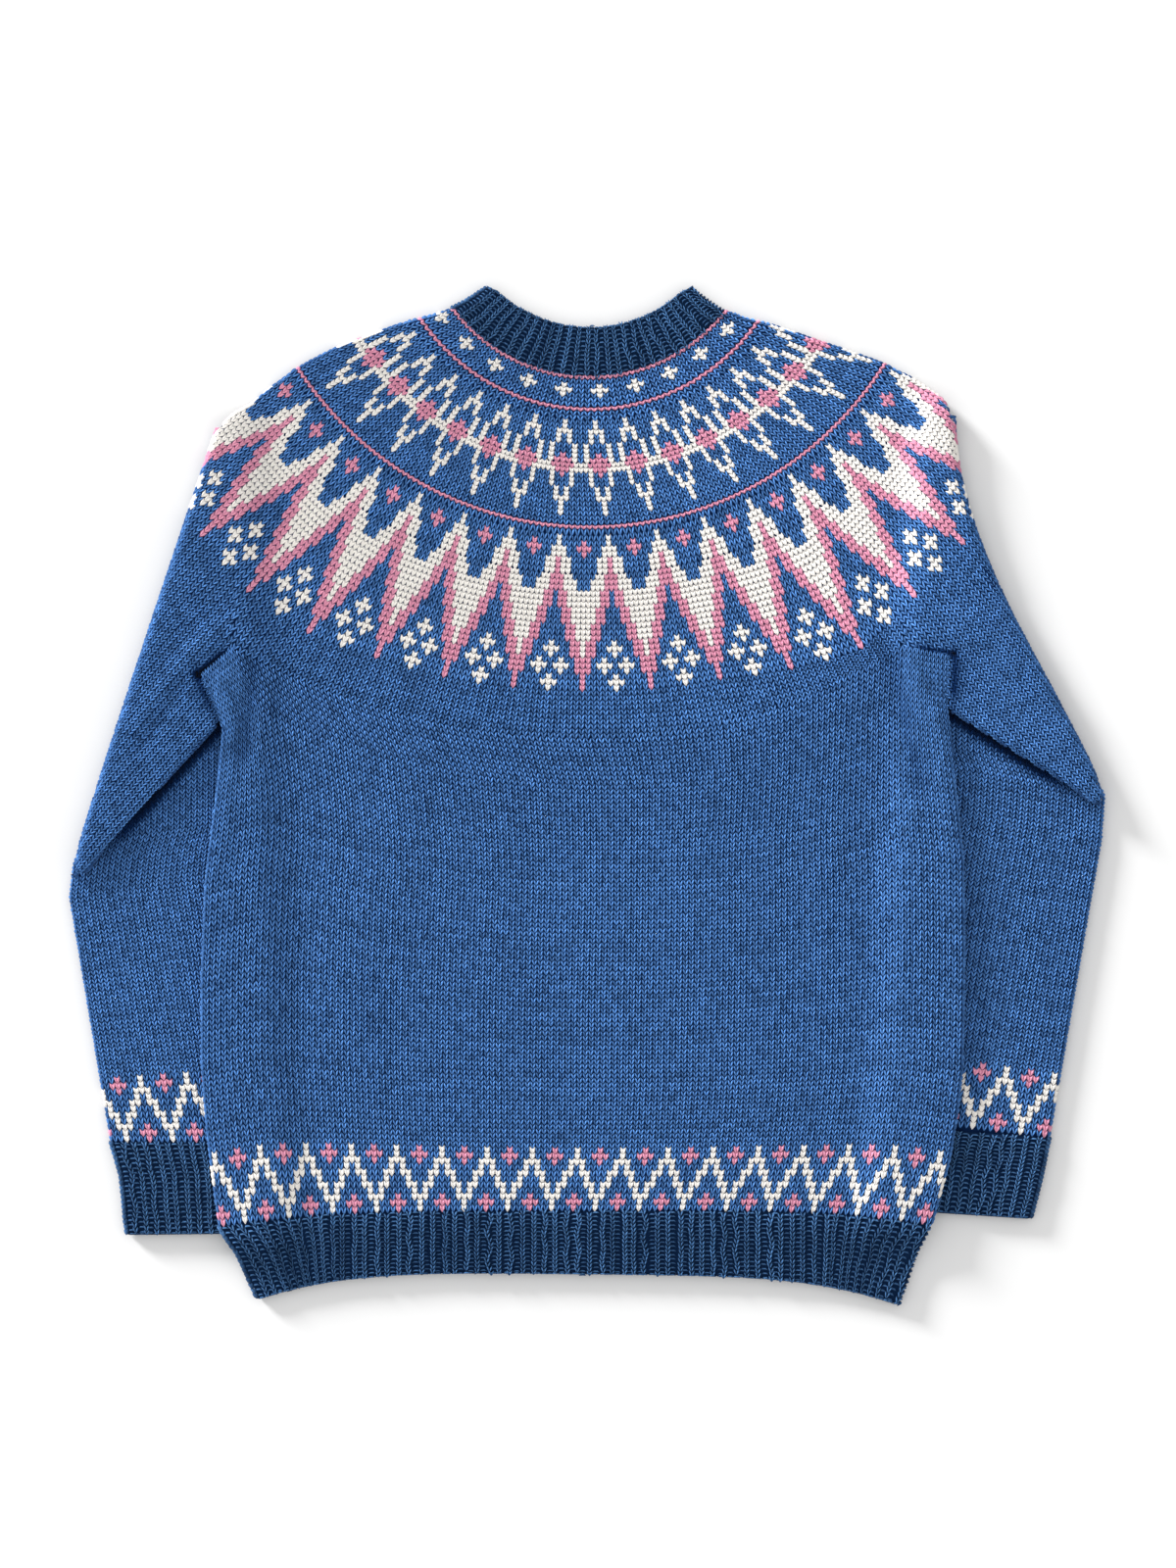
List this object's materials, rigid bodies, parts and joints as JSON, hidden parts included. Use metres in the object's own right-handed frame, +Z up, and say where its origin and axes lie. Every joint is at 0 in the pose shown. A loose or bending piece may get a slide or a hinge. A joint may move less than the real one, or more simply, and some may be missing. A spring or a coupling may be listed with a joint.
{
  "type": "norwegian sweater",
  "caption": "Hand-knitted round-yoke wool sweater with star and zigzag colourwork, laid flat with the sleeves folded back at the elbow.",
  "frame": {"origin": "middle of the bounding box, on the surface that the sweater lies on", "axes": "+Z up out of the surface that it lies on, +Y from hem to neck, +X to the picture's right"},
  "size_m": [0.7038, 0.6938, 0.0154],
  "materials": {
    "blue_wool": "soft matt wool, plain knit, heathered denim blue with cream and pink bands",
    "yoke_wool": "soft matt wool, stranded colourwork in blue, cream and pink",
    "rib_wool": "soft matt wool, one by one rib, darker blue"
  },
  "bodies": {
    "root": {"neckband": "rib_wool", "yoke": "yoke_wool", "body": "blue_wool", "hem_rib": "rib_wool", "sleeve_left": "blue_wool", "sleeve_right": "blue_wool", "cuff_left": "rib_wool", "cuff_right": "rib_wool"}
  },
  "joints": []
}
